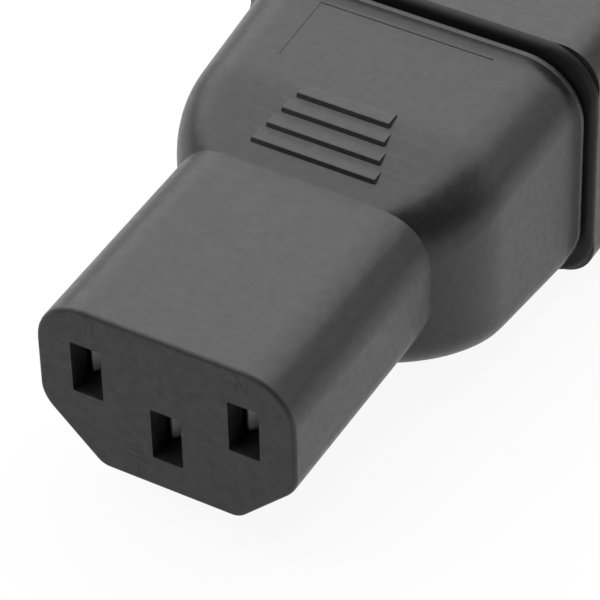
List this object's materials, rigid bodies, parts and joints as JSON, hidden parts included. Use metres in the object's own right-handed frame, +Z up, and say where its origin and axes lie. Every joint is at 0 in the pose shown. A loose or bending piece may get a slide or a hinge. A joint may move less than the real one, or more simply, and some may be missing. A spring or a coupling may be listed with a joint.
{
  "type": "power plug adapter",
  "caption": "Straight moulded power plug adapter with a slotted socket nose, a broad block with raised grip bars, a rimmed flange and a shrouded plug with flat blades.",
  "frame": {"origin": "middle of the adapter's bounding box at its base, on the underside of the shroud", "axes": "+Y along the body from the socket face to the blades, +X to the right seen from the socket face, +Z up"},
  "size_m": [0.0322, 0.0662, 0.0237],
  "materials": {
    "jacket_plastic": "fine moulded grain, matte",
    "holder_plastic": "plain moulded",
    "carrier_plastic": "fine moulded grain, matte",
    "shroud_plastic": "fine moulded grain, satin",
    "contact_metal": "plated strip, satin",
    "copper": "stranded, bright",
    "line_sleeve": "extruded sleeve",
    "neutral_sleeve": "extruded sleeve",
    "earth_sleeve": "extruded sleeve",
    "blade_metal": "plated, polished"
  },
  "bodies": {
    "root": {"jacket": "jacket_plastic", "contact_holder": "holder_plastic", "holder_lid": "holder_plastic", "pin_carrier": "carrier_plastic", "shroud": "shroud_plastic", "contact_line": "contact_metal", "conductor_line": "copper", "insulation_line": "line_sleeve", "blade_line": "blade_metal", "contact_neutral": "contact_metal", "conductor_neutral": "copper", "insulation_neutral": "neutral_sleeve", "blade_neutral": "blade_metal", "contact_earth": "contact_metal", "conductor_earth": "copper", "insulation_earth": "earth_sleeve", "blade_earth": "blade_metal"}
  },
  "joints": []
}
